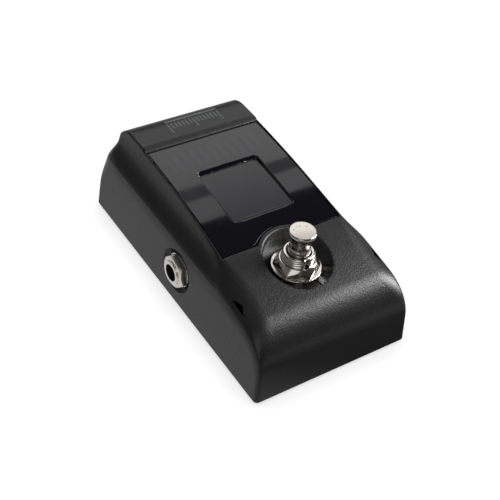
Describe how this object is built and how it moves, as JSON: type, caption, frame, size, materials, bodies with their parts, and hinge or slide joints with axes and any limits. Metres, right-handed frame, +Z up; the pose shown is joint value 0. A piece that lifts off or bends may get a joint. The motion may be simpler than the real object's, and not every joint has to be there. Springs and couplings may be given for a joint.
{
  "type": "instrument tuner pedal with footswitch",
  "caption": "Compact wedge-shaped stomp tuner pedal: satin black cast casing, smoked display window, round metal footswitch in a pit and an audio jack on each side.",
  "frame": {"origin": "on the floor, under the middle of the casing", "axes": "+X to the player's right, +Y towards the rear strip, +Z up; the footswitch end is -Y"},
  "size_m": [0.0696, 0.117, 0.0442],
  "materials": {
    "casing_black": "satin powder coat",
    "smoked_window": "polished smoked acrylic",
    "bright_nickel": "bright nickel plate",
    "zinc_steel": "zinc plated",
    "plated_brass": "plated contact metal",
    "black_plastic": "moulded",
    "blue_plastic": "moulded",
    "key_plastic": "moulded",
    "milky_plastic": "translucent white",
    "lamp_white": "lamp lens",
    "circuit_board": "solder mask",
    "chip_black": "moulded package",
    "can_aluminium": "drawn can",
    "painted_steel": "black paint on sheet steel",
    "black_screw": "black oxide",
    "rubber_black": "soft matt rubber",
    "foam_tape": "closed-cell foam",
    "battery_case": "plain printed can",
    "wire_cover": "vinyl insulation"
  },
  "bodies": {
    "pedal": {"base_plate": "painted_steel", "base_plate_screws": "black_screw", "battery_foam_pad": "foam_tape", "battery_leads": "wire_cover", "battery_snap": "black_plastic", "battery_studs": "plated_brass", "battery_tray": "black_plastic", "board_capacitors": "can_aluminium", "board_chips": "chip_black", "board_frame": "black_plastic", "board_screws": "zinc_steel", "calibration_key_switch": "chip_black", "dc_in_jack": "black_plastic", "dc_in_pin": "plated_brass", "dc_out_jack": "black_plastic", "dc_out_pin": "plated_brass", "display_key_switch": "chip_black", "display_window": "smoked_window", "footswitch_bushing": "bright_nickel", "footswitch_housing": "blue_plastic", "footswitch_lock_washer": "zinc_steel", "footswitch_lower_nut": "zinc_steel", "footswitch_nut": "bright_nickel", "footswitch_spring": "zinc_steel", "footswitch_terminals": "plated_brass", "footswitch_washer": "bright_nickel", "footswitch_wires": "wire_cover", "input_jack_body": "black_plastic", "input_jack_bush": "bright_nickel", "input_jack_contacts": "plated_brass", "input_jack_nut": "bright_nickel", "input_jack_washer": "bright_nickel", "jack_wires": "wire_cover", "main_board": "circuit_board", "meter_diffuser": "milky_plastic", "meter_lamps": "lamp_white", "meter_light_mask": "black_plastic", "nine_volt_battery": "battery_case", "note_display": "black_plastic", "note_display_bars": "lamp_white", "output_jack_body": "black_plastic", "output_jack_bush": "bright_nickel", "output_jack_contacts": "plated_brass", "output_jack_nut": "bright_nickel", "output_jack_washer": "bright_nickel", "rubber_feet": "rubber_black", "upper_casing": "casing_black", "window_tape": "foam_tape"},
    "foot_button": {"footswitch_button": "bright_nickel", "footswitch_contact_bridge": "plated_brass"},
    "display_push": {"display_key": "key_plastic"},
    "calibration_push": {"calibration_key": "key_plastic"},
    "lid": {"battery_lid": "black_plastic"}
  },
  "joints": [
    {"name": "footswitch_press", "type": "slide", "parent": "pedal", "child": "foot_button", "axis": [0, 0, 1], "range_m": [-0.0024, 0], "stiffness_N_per_m": 1500, "springref_m": 0.003, "deforming": ["footswitch_spring"]},
    {"name": "display_key_press", "type": "slide", "parent": "pedal", "child": "display_push", "axis": [0, 1, 0], "range_m": [-0.0005, 0], "stiffness_N_per_m": 1500, "springref_m": 0.0006},
    {"name": "calibration_key_press", "type": "slide", "parent": "pedal", "child": "calibration_push", "axis": [0, 1, 0], "range_m": [-0.0005, 0], "stiffness_N_per_m": 1500, "springref_m": 0.0006},
    {"name": "battery_lid_hinge", "type": "hinge", "parent": "pedal", "child": "lid", "pos_m": [0, 0.0417, 0.0019], "axis": [1, 0, 0], "range_deg": [0, 80]}
  ]
}
